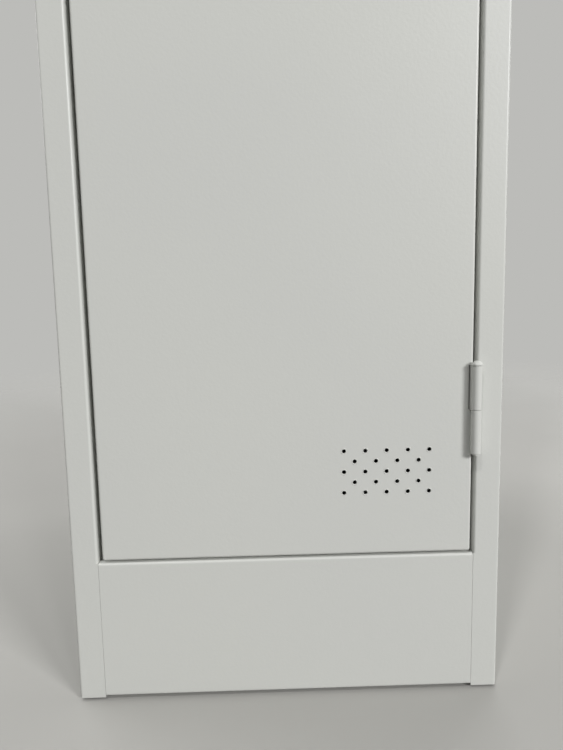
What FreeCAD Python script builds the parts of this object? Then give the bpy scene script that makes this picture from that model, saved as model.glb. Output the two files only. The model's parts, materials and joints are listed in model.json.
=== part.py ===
import FreeCAD, Part
import math
import os

# Single steel locker: folded sheet cabinet, one door on three barrel hinges, cam lock and inner fittings.
# Millimetres. X runs to the right seen from the front, Y from front to back, Z up from the floor.
# Pieces are drawn with the front face at Y = 0, then moved to put the origin below the middle of the box.

# Cabinet
WIDTH = 317.0
DEPTH = 515.0
HEIGHT = 1790.0
SHEET = 0.8
BEND = 1.4                  # bend radius on the middle of the sheet
SKIRT_GAP = 2.0             # lower edge of the posts above the floor
POST_FACE = 19.2
POST_DEPTH = 21.0
STOP_LIP = 10.0             # lip behind the door, all round the doorway
REAR_FLANGE = 16.0
TRAY_FLANGE = 18.0          # turned edges of the top, the floor and the shelf
KICK_TOP = 108.0
KICK_LIFT = 0.8             # lower edge of the kick plate above the lower edge of the posts
KICK_FOOT = 14.0            # inward flange along the lower edge of the kick plate
KICK_LAP = 13.0             # tabs of the kick plate behind the posts
HEADER = 32.0
JOINT_GAP = 0.2             # seam between a rail and the post beside it
CORNER_RELIEF = 3.0         # notch at the corners of turned edges
BOLT_HOLE = 7.0             # holes for bolts to a neighbour or to the wall
BOLT_INSET = 67.0           # neighbour bolts from the front and the back
BOLT_LOW = 250.0            # lower neighbour bolts above the floor
BOLT_DROP = 140.0           # upper neighbour bolts below the top
ANCHOR_SPACING = 200.0
ANCHOR_DROP = 60.0          # wall anchor holes below the top

# Hinges
PIN = 4.0
PIN_CLEARANCE = 0.05
LEAF = 1.6                  # strip that is rolled into a knuckle
LEAF_REACH = 14.0           # leaf behind the front face
AXIS_OUT = 3.5              # hinge axis in front of the front face
KNUCKLE = 32.0
KNUCKLE_GAP = 0.3
KNUCKLE_EDGE = 0.35
ROLL_SEAM = 0.4
HINGE_INSET = 107.0         # middle of the end hinges from the ends of the door
NOTCH_ROOM = 0.8            # notch beside a leaf
HEAD_R = 4.0
HEAD_RIM = 0.7
HEAD_DOME = 2.6
PIN_END = 1.3               # pin below the lower knuckle

# Door
LATCH_GAP = 3.3
SILL_GAP = 2.0
BUMPER = 1.9
BUMPER_GAP = 0.3
DOOR_LIP = 20.0
LIP_CORNER = 6.0
VENT_HOLE = 3.0
VENT_PITCH = 15.6
VENT_ROWS = 5
VENT_COLUMNS = 5
VENT_SIDE = 31.3            # outer column from the hinge edge of the door
VENT_END = 47.0             # outer row from the end of the door
STIFFENER_X = -15.0
STIFFENER_CROWN = 34.0
STIFFENER_FOOT = 13.0
STIFFENER_DEPTH = 11.0
STIFFENER_END = 40.0

# Handle and lock
HANDLE_INSET = 38.0         # handle centre line from the latch edge of the door
HANDLE_Z = 960.0
HANDLE_W = 60.0
HANDLE_H = 132.0
HANDLE_T = 2.4
HANDLE_CORNER = 9.0
HANDLE_EDGE = 1.0
CUP_W = 40.0
CUP_H = 64.0
CUP_DEPTH = 13.5
CUP_WALL = 1.6
CUP_UNDERCUT = 7.0          # finger room behind the latch side of the mouth
CUP_DROP = 26.0             # cup centre below the handle centre
CUP_CORNER = 6.0
CUT_CLEARANCE = 0.5         # cut-outs round what passes through the door
LOCK_RISE = 38.0            # lock axis above the handle centre
LOCK_BODY_R = 9.0
LOCK_FLANGE_R = 11.5
LOCK_FLANGE_T = 2.6
LOCK_EDGE = 0.8
LOCK_NUT_AF = 26.0
LOCK_NUT_T = 4.0
PLUG_R = 6.0
PLUG_CLEARANCE = 0.06
PLUG_SET_BACK = 0.4
KEYWAY_W = 1.6
KEYWAY_H = 8.0
KEYWAY_DEPTH = 9.0
CAM_LENGTH = 38.0
CAM_TAIL = 7.0              # cam on the other side of its axis
CAM_W = 14.0
CAM_CORNER = 4.6
CAM_T = 2.0
CAM_GAP = 0.8               # cam behind the stop lip
TANG = 7.0
TANG_CLEARANCE = 0.05
CAM_SCREW_R = 2.0
CAM_SCREW_HEAD_R = 5.0
CAM_SCREW_HEAD_T = 2.4
CAM_SCREW_LENGTH = 8.0

# Card holder on the door
CARD_DROP = 266.0           # card centre below the top of the door
CARD_W = 72.0
CARD_H = 42.0
CARD_T = 0.4
WINDOW_T = 0.8
CARD_RIM = 4.0              # frame outside the card
CARD_OVERLAP = 3.0          # frame in front of the card
CARD_FACE = 1.4             # frame thickness in front of the window
CARD_CORNER = 4.0
CARD_EDGE = 0.7
WINDOW_CORNER = 2.0

# Inside of the door
MIRROR_DROP = 316.0         # mirror centre below the top of the door
MIRROR_W = 110.0
MIRROR_H = 150.0
MIRROR_BACK = 2.0
MIRROR_T = 2.0
MIRROR_RIM = 4.0
MIRROR_CORNER = 8.0
GLASS_CORNER = 4.0
TOWEL_DROP = 466.0          # towel bar below the top of the door
TOWEL_WIRE = 5.0
TOWEL_REACH = 28.0          # bar behind the inner lip of the door
TOWEL_INSET = 12.0          # legs from the side edges of the door
TOWEL_BEND = 10.0
TOWEL_FOOT_R = 6.5
TOWEL_FOOT_T = 1.6

# Magnet catch on the latch post
CATCH_RISE = 220.0          # catch above the handle centre
CATCH_H = 46.0
CATCH_W = 15.0
CATCH_DEPTH = 14.0
CATCH_TAB = 2.0
CATCH_EDGE = 1.2
MAGNET_W = 9.0
MAGNET_H = 30.0
MAGNET_SEAT = 6.0           # magnet inside the catch
MAGNET_GAP = 0.3            # magnet to the door
MAGNET_PROUD = 0.8
BUMPER_R = 3.5
BUMPER_X = 5.2              # bumpers from the jamb
BUMPER_RISE = 50.0          # lowest bumper above the lower end of the door
BUMPER_DROP = 200.0         # middle bumper below the handle centre
BUMPER_TOP_DROP = 56.0      # highest bumper below the top of the door

# Levelling feet
FOOT_X = 30.0               # foot axis from the side of the cabinet
FOOT_Y = 62.0               # foot axis from the front and the back
FOOT_R = 15.0
FOOT_PAD = 9.0
FOOT_EDGE = 1.0
FOOT_STEP_R = 8.0
FOOT_STEP = 4.0
STUD_R = 4.0
STUD_CLEARANCE = 0.06
STUD_LENGTH = 52.0
STUD_SEAT = 5.0             # stud inside its pad
STUD_SLOT = 1.2
BRACKET = 2.0
BRACKET_BEND = 4.0
BRACKET_LENGTH = 56.0
BRACKET_RISE = 34.0
BRACKET_Z = 24.0            # underside of the bracket
BRACKET_W = 52.0
NUT_AF = 13.0
NUT_T = 6.5

# Shelf, rail, hooks, umbrella holder and drip tray
SHELF_DROP = 290.0          # shelf below the top
SHELF_SIDE_GAP = 0.7
SHELF_SET_BACK = 14.0       # shelf behind the stop lip
CLIP_LENGTH = 44.0
CLIP_LEDGE = 15.0
CLIP_DROP = 24.0
CLIP_T = 1.6
CLIP_INSET = 50.0
RAIL_DROP = 76.0            # rail below the shelf
RAIL_R = 9.5
RAIL_WALL = 1.2
RAIL_CLEARANCE = 0.1
SOCKET_R = 19.0
SOCKET_BASE = 2.5
SOCKET_COLLAR = 12.0
SOCKET_WALL = 2.5
SOCKET_EDGE = 1.0
HOOK_X = 70.0
HOOK_PLATE_DROP = 170.0     # hook plates below the shelf
HOOK_WIRE = 5.0
HOOK_REACH = 34.0
HOOK_RISE = 24.0
HOOK_BEND = 11.0
HOOK_PLATE_W = 20.0
HOOK_PLATE_H = 44.0
HOOK_PLATE_T = 1.6
HOOK_CORNER = 5.0
HOOK_DROP = 11.0            # wire below the middle of its plate
HOOK_TIP_R = 4.5
LOOP_Z = 720.0
LOOP_FRONT = 56.0           # umbrella loop behind the stop lip
LOOP_LENGTH = 124.0
LOOP_REACH = 66.0
LOOP_WIRE = 5.0
LOOP_BEND = 16.0
LOOP_PLATE_T = 1.6
LOOP_PLATE_H = 26.0
LOOP_PLATE_END = 12.0
LOOP_CORNER = 6.5
TRAY_W = 116.0
TRAY_L = 206.0
TRAY_H = 30.0
TRAY_WALL = 2.0
TRAY_DRAFT = 5.0
TRAY_CORNER = 14.0
TRAY_RIM = 4.0
TRAY_RIM_T = 2.2
TRAY_SIDE_GAP = 4.0         # rim of the tray from the side wall and the stop lip

# Places that follow from the sizes above
INSIDE = WIDTH / 2 - SHEET
JAMB = WIDTH / 2 - POST_FACE
HEADER_BOTTOM = HEIGHT - HEADER
BOLT_HIGH = HEIGHT - BOLT_DROP
BACK_FRONT = DEPTH - 2 * SHEET
STOP_FRONT = POST_DEPTH - SHEET
BEND_OUTER = BEND + SHEET / 2
BEND_INNER = BEND - SHEET / 2
BORE_R = PIN / 2 + PIN_CLEARANCE
BARREL_R = BORE_R + LEAF
AXIS_X = JAMB + SHEET - BORE_R
AXIS_Y = -AXIS_OUT
DOOR_LEFT = LATCH_GAP - JAMB
DOOR_RIGHT = AXIS_X - BORE_R + SHEET
DOOR_BOTTOM = KICK_TOP + SILL_GAP
DOOR_TOP = HEADER_BOTTOM - SILL_GAP
DOOR_DEPTH = STOP_FRONT - BUMPER - BUMPER_GAP
HINGE_HEIGHTS = {
    "lower": DOOR_BOTTOM + HINGE_INSET,
    "middle": (DOOR_BOTTOM + DOOR_TOP) / 2,
    "upper": DOOR_TOP - HINGE_INSET,
}
CARD_Z = DOOR_TOP - CARD_DROP
MIRROR_Z = DOOR_TOP - MIRROR_DROP
TOWEL_Z = DOOR_TOP - TOWEL_DROP
CATCH_Z = HANDLE_Z + CATCH_RISE
BUMPER_HEIGHTS = (DOOR_BOTTOM + BUMPER_RISE, HANDLE_Z - BUMPER_DROP, DOOR_TOP - BUMPER_TOP_DROP)
SHELF_Z = HEIGHT - SHELF_DROP
RAIL_Z = SHELF_Z - RAIL_DROP
HOOK_Z = SHELF_Z - HOOK_PLATE_DROP
HANDLE_X = DOOR_LEFT + HANDLE_INSET
CUP_X = HANDLE_X + CUP_UNDERCUT / 2
CUP_Z = HANDLE_Z - CUP_DROP
LOCK_Z = HANDLE_Z + LOCK_RISE
CAM_FRONT = POST_DEPTH + CAM_GAP
LOCK_END = CAM_FRONT - CAM_GAP
CROWN_BACK = SHEET + STIFFENER_DEPTH
FRONT_REACH = AXIS_OUT + max(HEAD_R, BARREL_R)
CENTRE_SHIFT = (FRONT_REACH - DEPTH) / 2
PAST = 5.0                  # how far a cutting shape runs past what it cuts
TOLERANCE = 1e-6

X_AXIS = FreeCAD.Vector(1, 0, 0)
Y_AXIS = FreeCAD.Vector(0, 1, 0)
Z_AXIS = FreeCAD.Vector(0, 0, 1)


def point(x, y, z):
    return FreeCAD.Vector(x, y, z)


def plan(z):
    """Lifts (x, y) points of a profile to a height."""
    return lambda a, b: point(a, b, z)


def side_view(x):
    """Lifts (y, z) points of a profile to a place across the width."""
    return lambda a, b: point(x, a, b)


def front_view(y):
    """Lifts (x, z) points of a profile to a place along the depth."""
    return lambda a, b: point(a, y, b)


def strip_edges(points, offset, radius, lift):
    """Lines and arcs beside a bent middle line, at an offset to its left."""
    edges = []
    last = len(points) - 2
    ways = []
    for (ax, ay), (bx, by) in zip(points, points[1:]):
        length = math.hypot(bx - ax, by - ay)
        ways.append(((bx - ax) / length, (by - ay) / length))
    start = (points[0][0] - offset * ways[0][1], points[0][1] + offset * ways[0][0])
    for i, (dx, dy) in enumerate(ways):
        corner_x, corner_y = points[i + 1]
        if i == last:
            end = (corner_x - offset * dy, corner_y + offset * dx)
            edges.append(Part.LineSegment(lift(*start), lift(*end)).toShape())
            break
        nx, ny = ways[i + 1]
        turn = math.copysign(1, dx * ny - dy * nx)
        cut = radius * math.tan(math.acos(dx * nx + dy * ny) / 2)
        centre = (corner_x - cut * dx - turn * radius * dy, corner_y - cut * dy + turn * radius * dx)
        arc_r = radius - turn * offset
        end = (centre[0] + turn * arc_r * dy, centre[1] - turn * arc_r * dx)
        reach = arc_r / math.hypot(corner_x - centre[0], corner_y - centre[1])
        middle = (centre[0] + reach * (corner_x - centre[0]), centre[1] + reach * (corner_y - centre[1]))
        after = (centre[0] + turn * arc_r * ny, centre[1] - turn * arc_r * nx)
        edges.append(Part.LineSegment(lift(*start), lift(*end)).toShape())
        edges.append(Part.Arc(lift(*end), lift(*middle), lift(*after)).toShape())
        start = after
    return edges


def bent_sheet(points, lift, along, thickness=SHEET, radius=BEND):
    """Sheet folded along a middle line of profile points and drawn out along a vector."""
    left = strip_edges(points, thickness / 2, radius, lift)
    right = strip_edges(points, -thickness / 2, radius, lift)
    first = Part.LineSegment(right[0].Vertexes[0].Point, left[0].Vertexes[0].Point).toShape()
    last = Part.LineSegment(left[-1].Vertexes[-1].Point, right[-1].Vertexes[-1].Point).toShape()
    outline = Part.Wire(left + [last] + right[::-1] + [first])
    return Part.Face(outline).extrude(along)


def block(low, high):
    return Part.makeBox(high[0] - low[0], high[1] - low[1], high[2] - low[2], point(*low))


def edges_along(shape, axis):
    """Straight edges of a shape that run along an axis."""
    found = []
    for edge in shape.Edges:
        if len(edge.Vertexes) == 2:
            way = edge.Vertexes[1].Point - edge.Vertexes[0].Point
            if way.cross(axis).Length < TOLERANCE:
                found.append(edge)
    return found


def edges_at(shape, y):
    """Edges of a shape that lie wholly at one depth."""
    found = []
    for edge in shape.Edges:
        box = edge.BoundBox
        if max(abs(box.YMin - y), abs(box.YMax - y)) < TOLERANCE:
            found.append(edge)
    return found


def panel(x, z, width, height, front, back, corner):
    """Upright plate with rounded corners, centred at x and z."""
    low = (x - width / 2, front, z - height / 2)
    high = (x + width / 2, back, z + height / 2)
    plate = block(low, high)
    return plate.makeFillet(corner, edges_along(plate, Y_AXIS))


def rod(radius, start, axis, length):
    return Part.makeCylinder(radius, length, start, axis)


def hexagon(across_flats, start, axis, length):
    """Six-sided prism on an axis."""
    corner_r = across_flats / math.sqrt(3)
    side_axis = Z_AXIS if abs(axis.dot(Z_AXIS)) < 0.5 else X_AXIS
    other = axis.cross(side_axis)
    ring = []
    for i in range(7):
        angle = math.radians(60 * i)
        ring.append(start + side_axis * (corner_r * math.cos(angle)) + other * (corner_r * math.sin(angle)))
    return Part.Face(Part.makePolygon(ring)).extrude(axis * length)


def turned(profile, start, axis):
    """Solid of revolution about an axis: profile holds (radius, distance along the axis) points."""
    side_axis = X_AXIS if abs(axis.dot(X_AXIS)) < 0.5 else Z_AXIS
    corners = [start + side_axis * radius + axis * along for radius, along in profile]
    face = Part.Face(Part.makePolygon(corners + corners[:1]))
    return face.revolve(start, axis, 360)


def wire_form(corners, radius, bend):
    """Round wire along straight runs with a bend at each inner corner."""
    edges = []
    start = corners[0]
    for before, corner, after in zip(corners, corners[1:], corners[2:]):
        come = (corner - before).normalize()
        go = (after - corner).normalize()
        cut = bend * math.tan(come.getAngle(go) / 2)
        bend_start = corner - come * cut
        bend_end = corner + go * cut
        inward = (go - come).normalize()
        to_centre = bend / math.cos(come.getAngle(go) / 2)
        middle = corner + inward * (to_centre - bend)
        edges.append(Part.LineSegment(start, bend_start).toShape())
        edges.append(Part.Arc(bend_start, middle, bend_end).toShape())
        start = bend_end
    edges.append(Part.LineSegment(start, corners[-1]).toShape())
    first_way = (corners[1] - corners[0]).normalize()
    circle = Part.Wire(Part.makeCircle(radius, corners[0], first_way))
    return Part.Wire(edges).makePipeShell([circle], True, False)


def mirrored(shape):
    """The same piece on the other side of the cabinet."""
    return shape.mirror(point(0, 0, 0), X_AXIS)


def folded_tray(half_width, front, back, top, front_turn, back_turn, side_turn):
    """Sheet with its edges turned up (positive) or down (negative), with relieved corners."""
    middle = top - SHEET / 2
    near = front + SHEET / 2
    far = back - SHEET / 2
    inner = half_width - CORNER_RELIEF
    long_profile = [(near, top + front_turn), (near, middle), (far, middle), (far, top + back_turn)]
    tray = bent_sheet(long_profile, side_view(-inner), point(2 * inner, 0, 0))
    if side_turn:
        reach = half_width - SHEET / 2
        length = back - front - 2 * CORNER_RELIEF
        low = top + side_turn
        cross_profile = [(-reach, low), (-reach, middle), (reach, middle), (reach, low)]
        tray = tray.fuse(bent_sheet(cross_profile, front_view(front + CORNER_RELIEF), point(0, length, 0)))
    return tray.removeSplitter()


def side_panel():
    """Right-hand side: back flange, wall and post in one folded sheet."""
    half = SHEET / 2
    back_and_wall = [
        (WIDTH / 2 - REAR_FLANGE, DEPTH - half),
        (WIDTH / 2 - half, DEPTH - half),
        (WIDTH / 2 - half, half),
    ]
    plain = back_and_wall + [(JAMB, half)]
    post = back_and_wall + [
        (JAMB + half, half),
        (JAMB + half, POST_DEPTH - half),
        (JAMB - STOP_LIP, POST_DEPTH - half),
    ]
    below = bent_sheet(plain, plan(SKIRT_GAP), point(0, 0, KICK_TOP - SKIRT_GAP))
    doorway = bent_sheet(post, plan(KICK_TOP), point(0, 0, HEADER_BOTTOM - KICK_TOP))
    above = bent_sheet(plain, plan(HEADER_BOTTOM), point(0, 0, HEADER))
    whole = below.fuse([doorway, above]).removeSplitter()
    holes = []
    for y in (BOLT_INSET, DEPTH - BOLT_INSET):
        for z in (BOLT_LOW, BOLT_HIGH):
            holes.append(rod(BOLT_HOLE / 2, point(INSIDE - PAST, y, z), X_AXIS, 2 * PAST + SHEET))
    return whole.cut(Part.makeCompound(holes))


def leaf_notches(side, low_end):
    """Notches in the sheet beside the hinge axis (side -1 the door, 1 the post) where leaves pass through."""
    notches = []
    reach = BARREL_R + NOTCH_ROOM
    left, right = sorted((AXIS_X, AXIS_X + side * reach))
    for height in HINGE_HEIGHTS.values():
        low = height + low_end
        notches.append(block((left, -PAST, low), (right, BEND_OUTER + SHEET, low + KNUCKLE)))
    return Part.makeCompound(notches)


def kick_plate():
    """Plinth front: foot flange, face, sill and stop lip in one fold, with tabs behind the posts."""
    half = SHEET / 2
    low = SKIRT_GAP + KICK_LIFT
    reach = JAMB - JOINT_GAP
    profile = [
        (KICK_FOOT, low + half),
        (half, low + half),
        (half, KICK_TOP - half),
        (POST_DEPTH - half, KICK_TOP - half),
        (POST_DEPTH - half, KICK_TOP + STOP_LIP),
    ]
    plate = bent_sheet(profile, side_view(-reach), point(2 * reach, 0, 0))
    corner_low = (reach - STOP_LIP, POST_DEPTH - BEND_OUTER, KICK_TOP - SHEET - PAST)
    corner_high = (reach + PAST, POST_DEPTH + PAST, KICK_TOP + STOP_LIP + PAST)
    corner = block(corner_low, corner_high)
    tab_low = (reach - KICK_LAP, SHEET, low + KICK_FOOT)
    tab_high = (JAMB + KICK_LAP, 2 * SHEET, KICK_TOP - KICK_FOOT)
    tab = block(tab_low, tab_high)
    plate = plate.cut(Part.makeCompound([corner, mirrored(corner)]))
    return plate.fuse([tab, mirrored(tab)]).removeSplitter()


def header_rail():
    """Rail above the door: face, soffit and stop lip in one fold."""
    half = SHEET / 2
    reach = JAMB - JOINT_GAP
    profile = [
        (half, HEIGHT),
        (half, HEADER_BOTTOM + half),
        (POST_DEPTH - half, HEADER_BOTTOM + half),
        (POST_DEPTH - half, HEADER_BOTTOM - STOP_LIP),
    ]
    rail = bent_sheet(profile, side_view(-reach), point(2 * reach, 0, 0))
    corner_low = (reach - STOP_LIP, POST_DEPTH - BEND_OUTER, HEADER_BOTTOM - STOP_LIP - PAST)
    corner_high = (reach + PAST, POST_DEPTH + PAST, HEADER_BOTTOM + SHEET + PAST)
    corner = block(corner_low, corner_high)
    return rail.cut(Part.makeCompound([corner, mirrored(corner)]))


def back_panel():
    """Flat back inside the rear flanges, with two wall anchor holes."""
    reach = INSIDE - BEND_INNER
    sheet = block((-reach, BACK_FRONT, SKIRT_GAP), (reach, DEPTH - SHEET, HEIGHT))
    holes = []
    for side in (-1, 1):
        start = point(side * ANCHOR_SPACING / 2, BACK_FRONT - PAST, HEIGHT - ANCHOR_DROP)
        holes.append(rod(BOLT_HOLE / 2, start, Y_AXIS, 2 * PAST + SHEET))
    return sheet.cut(Part.makeCompound(holes))


def cabinet_nodes():
    right = side_panel()
    left = mirrored(right)
    right = right.cut(leaf_notches(1, -KNUCKLE))
    down = -TRAY_FLANGE
    return {
        "left_side_panel": left,
        "right_side_panel": right,
        "back_panel": back_panel(),
        "top_panel": folded_tray(INSIDE, SHEET, BACK_FRONT, HEIGHT, down, down, down),
        "header_rail": header_rail(),
        "floor_panel": folded_tray(INSIDE, POST_DEPTH, BACK_FRONT, KICK_TOP, STOP_LIP, down, down),
        "kick_plate": kick_plate(),
    }


def knuckle_with_leaf(side, low, high):
    """Strip rolled into a knuckle on the hinge axis, with its leaf running back on one side of it."""
    length = high - low
    axis_low = point(AXIS_X, AXIS_Y, low)
    barrel = rod(BARREL_R, axis_low, Z_AXIS, length)
    barrel = barrel.makeFillet(KNUCKLE_EDGE, [e for e in barrel.Edges if len(e.Vertexes) == 1])
    inner = AXIS_X + side * BORE_R
    left, right = sorted((inner, AXIS_X + side * BARREL_R))
    leaf = block((left, AXIS_Y, low), (right, LEAF_REACH, high))
    bore = rod(BORE_R, axis_low - Z_AXIS * PAST, Z_AXIS, length + 2 * PAST)
    left, right = sorted((inner, inner - side * ROLL_SEAM))
    seam = block((left, AXIS_Y, low - PAST), (right, AXIS_Y + BARREL_R, high + PAST))
    return barrel.fuse(leaf).cut(bore.fuse(seam)).removeSplitter()


def hinge_pin(height):
    """Pin through both knuckles with a domed head on top."""
    low = height - KNUCKLE - PIN_END
    seat = height + KNUCKLE + KNUCKLE_GAP
    dome_r = (HEAD_R ** 2 + HEAD_DOME ** 2) / (2 * HEAD_DOME)
    rim_top = seat + HEAD_RIM
    dome = Part.makeSphere(dome_r, point(AXIS_X, AXIS_Y, rim_top + HEAD_DOME - dome_r))
    head = rod(HEAD_R, point(AXIS_X, AXIS_Y, seat), Z_AXIS, HEAD_RIM + HEAD_DOME).common(dome)
    return head.fuse(rod(PIN / 2, point(AXIS_X, AXIS_Y, low), Z_AXIS, seat - low)).removeSplitter()


def hinge_nodes():
    """Three hinges: the knuckle on the post is below the one on the door."""
    nodes = {}
    for name, height in HINGE_HEIGHTS.items():
        nodes[name + "_hinge_frame_leaf"] = knuckle_with_leaf(1, height - KNUCKLE, height - KNUCKLE_GAP / 2)
        nodes[name + "_hinge_door_leaf"] = knuckle_with_leaf(-1, height + KNUCKLE_GAP / 2, height + KNUCKLE)
        nodes[name + "_hinge_pin"] = hinge_pin(height)
    return nodes


def vent_holes():
    """Staggered holes near the hinge side at both ends of the door."""
    holes = []
    for row in range(VENT_ROWS):
        odd = row % 2
        for column in range(VENT_COLUMNS - odd):
            x = DOOR_RIGHT - VENT_SIDE - (column + odd / 2) * VENT_PITCH
            from_end = VENT_END + row * VENT_PITCH / 2
            for z in (DOOR_BOTTOM + from_end, DOOR_TOP - from_end):
                holes.append(rod(VENT_HOLE / 2, point(x, -PAST, z), Y_AXIS, 2 * PAST))
    return Part.makeCompound(holes)


def rounded_block(low, high, radius):
    solid = block(low, high)
    return solid.makeFillet(radius, solid.Edges)


def door_panel():
    """Folded pan with an inner lip all round, vents, and cut-outs for the handle, the lock and the hinges."""
    outer = rounded_block((DOOR_LEFT, 0, DOOR_BOTTOM), (DOOR_RIGHT, DOOR_DEPTH, DOOR_TOP), BEND_OUTER)
    low = (DOOR_LEFT + SHEET, SHEET, DOOR_BOTTOM + SHEET)
    high = (DOOR_RIGHT - SHEET, DOOR_DEPTH - SHEET, DOOR_TOP - SHEET)
    inner = rounded_block(low, high, BEND_INNER)
    middle_x = (DOOR_LEFT + DOOR_RIGHT) / 2
    middle_z = (DOOR_BOTTOM + DOOR_TOP) / 2
    clear_w = DOOR_RIGHT - DOOR_LEFT - 2 * DOOR_LIP
    clear_h = DOOR_TOP - DOOR_BOTTOM - 2 * DOOR_LIP
    opening = panel(middle_x, middle_z, clear_w, clear_h, DOOR_DEPTH / 2, DOOR_DEPTH + PAST, LIP_CORNER)
    cup_w = CUP_W + CUP_UNDERCUT + 2 * (CUP_WALL + CUT_CLEARANCE)
    cup_h = CUP_H + 2 * (CUP_WALL + CUT_CLEARANCE)
    cup_hole = panel(HANDLE_X, CUP_Z, cup_w, cup_h, -PAST, PAST, CUP_CORNER)
    lock_hole = rod(LOCK_BODY_R + CUT_CLEARANCE, point(HANDLE_X, -PAST, LOCK_Z), Y_AXIS, 2 * PAST)
    pan = outer.cut([inner, opening, cup_hole, lock_hole])
    return pan.cut([leaf_notches(-1, 0), vent_holes()])


def door_stiffener():
    """Hat channel down the middle of the door, standing on the inside of its face."""
    half = SHEET / 2
    foot = SHEET + half
    crown = CROWN_BACK - half
    narrow = STIFFENER_CROWN / 2
    wide = narrow + STIFFENER_FOOT
    left_half = [(-wide, foot), (-narrow, foot), (-narrow, crown)]
    right_half = [(-offset, y) for offset, y in reversed(left_half)]
    profile = [(STIFFENER_X + offset, y) for offset, y in left_half + right_half]
    low = DOOR_BOTTOM + STIFFENER_END
    return bent_sheet(profile, plan(low), point(0, 0, DOOR_TOP - STIFFENER_END - low))


def handle_cup():
    """Moulded plate with a finger cup that widens behind its mouth, and a hole for the lock."""
    plate = panel(HANDLE_X, HANDLE_Z, HANDLE_W, HANDLE_H, -HANDLE_T, 0, HANDLE_CORNER)
    plate = plate.makeFillet(HANDLE_EDGE, edges_at(plate, -HANDLE_T))
    inner_w = CUP_W + CUP_UNDERCUT
    outer_w = inner_w + 2 * CUP_WALL
    outer = panel(HANDLE_X, CUP_Z, outer_w, CUP_H + 2 * CUP_WALL, 0, CUP_DEPTH + CUP_WALL, CUP_CORNER)
    outer = outer.makeFillet(CUP_WALL, edges_at(outer, CUP_DEPTH + CUP_WALL))
    inner = panel(HANDLE_X, CUP_Z, inner_w, CUP_H, 0, CUP_DEPTH, CUP_CORNER - CUP_WALL)
    inner = inner.makeFillet(CUP_WALL, edges_at(inner, CUP_DEPTH))
    mouth = panel(CUP_X, CUP_Z, CUP_W, CUP_H, -HANDLE_T - PAST, PAST, CUP_CORNER - CUP_WALL)
    lock_start = point(HANDLE_X, -HANDLE_T - PAST, LOCK_Z)
    lock_hole = rod(LOCK_BODY_R + CUT_CLEARANCE / 2, lock_start, Y_AXIS, 2 * PAST)
    return plate.fuse(outer).cut([inner, mouth, lock_hole]).removeSplitter()


def lock_nodes():
    """Cam lock: flanged housing and ring nut on the door, and the turning plug with its cam and screw."""
    front = -HANDLE_T - LOCK_FLANGE_T
    axis_front = point(HANDLE_X, front, LOCK_Z)
    bore_r = PLUG_R + PLUG_CLEARANCE
    length = LOCK_END - front
    housing = turned(
        [
            (bore_r, 0),
            (LOCK_FLANGE_R - LOCK_EDGE, 0),
            (LOCK_FLANGE_R, LOCK_EDGE),
            (LOCK_FLANGE_R, LOCK_FLANGE_T),
            (LOCK_BODY_R, LOCK_FLANGE_T),
            (LOCK_BODY_R, length),
            (bore_r, length),
        ],
        axis_front,
        Y_AXIS,
    )
    nut_start = point(HANDLE_X, SHEET, LOCK_Z)
    nut = hexagon(LOCK_NUT_AF, nut_start, Y_AXIS, LOCK_NUT_T)
    nut = nut.cut(rod(LOCK_BODY_R + TANG_CLEARANCE, nut_start, Y_AXIS, LOCK_NUT_T))
    plug = rod(PLUG_R, axis_front + Y_AXIS * PLUG_SET_BACK, Y_AXIS, CAM_FRONT - front - PLUG_SET_BACK)
    tang = block((-TANG / 2, 0, -TANG / 2), (TANG / 2, CAM_T, TANG / 2))
    tang.translate(point(HANDLE_X, CAM_FRONT, LOCK_Z))
    keyway_low = (HANDLE_X - KEYWAY_W / 2, front, LOCK_Z - KEYWAY_H / 2)
    keyway = block(keyway_low, (HANDLE_X + KEYWAY_W / 2, front + KEYWAY_DEPTH, LOCK_Z + KEYWAY_H / 2))
    cam_back = CAM_FRONT + CAM_T
    screw_end = point(HANDLE_X, cam_back - CAM_SCREW_LENGTH, LOCK_Z)
    tapped = rod(CAM_SCREW_R, screw_end, Y_AXIS, CAM_SCREW_LENGTH + PAST)
    plug = plug.fuse(tang).cut([keyway, tapped])
    cam_z = LOCK_Z + (CAM_TAIL - CAM_LENGTH) / 2
    cam = panel(HANDLE_X, cam_z, CAM_W, CAM_LENGTH + CAM_TAIL, CAM_FRONT, cam_back, CAM_CORNER)
    hole = TANG / 2 + TANG_CLEARANCE
    square_low = (HANDLE_X - hole, CAM_FRONT - PAST, LOCK_Z - hole)
    square = block(square_low, (HANDLE_X + hole, cam_back + PAST, LOCK_Z + hole))
    screw = turned(
        [
            (0, 0),
            (CAM_SCREW_R - TANG_CLEARANCE, 0),
            (CAM_SCREW_R - TANG_CLEARANCE, CAM_SCREW_LENGTH),
            (CAM_SCREW_HEAD_R, CAM_SCREW_LENGTH),
            (CAM_SCREW_HEAD_R, CAM_SCREW_LENGTH + CAM_SCREW_HEAD_T / 2),
            (CAM_SCREW_HEAD_R / 2, CAM_SCREW_LENGTH + CAM_SCREW_HEAD_T),
            (0, CAM_SCREW_LENGTH + CAM_SCREW_HEAD_T),
        ],
        screw_end,
        Y_AXIS,
    )
    return {
        "lock_housing": housing,
        "lock_nut": nut,
        "lock_plug": plug.removeSplitter(),
        "lock_cam": cam.cut(square),
        "cam_screw": screw,
    }


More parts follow.
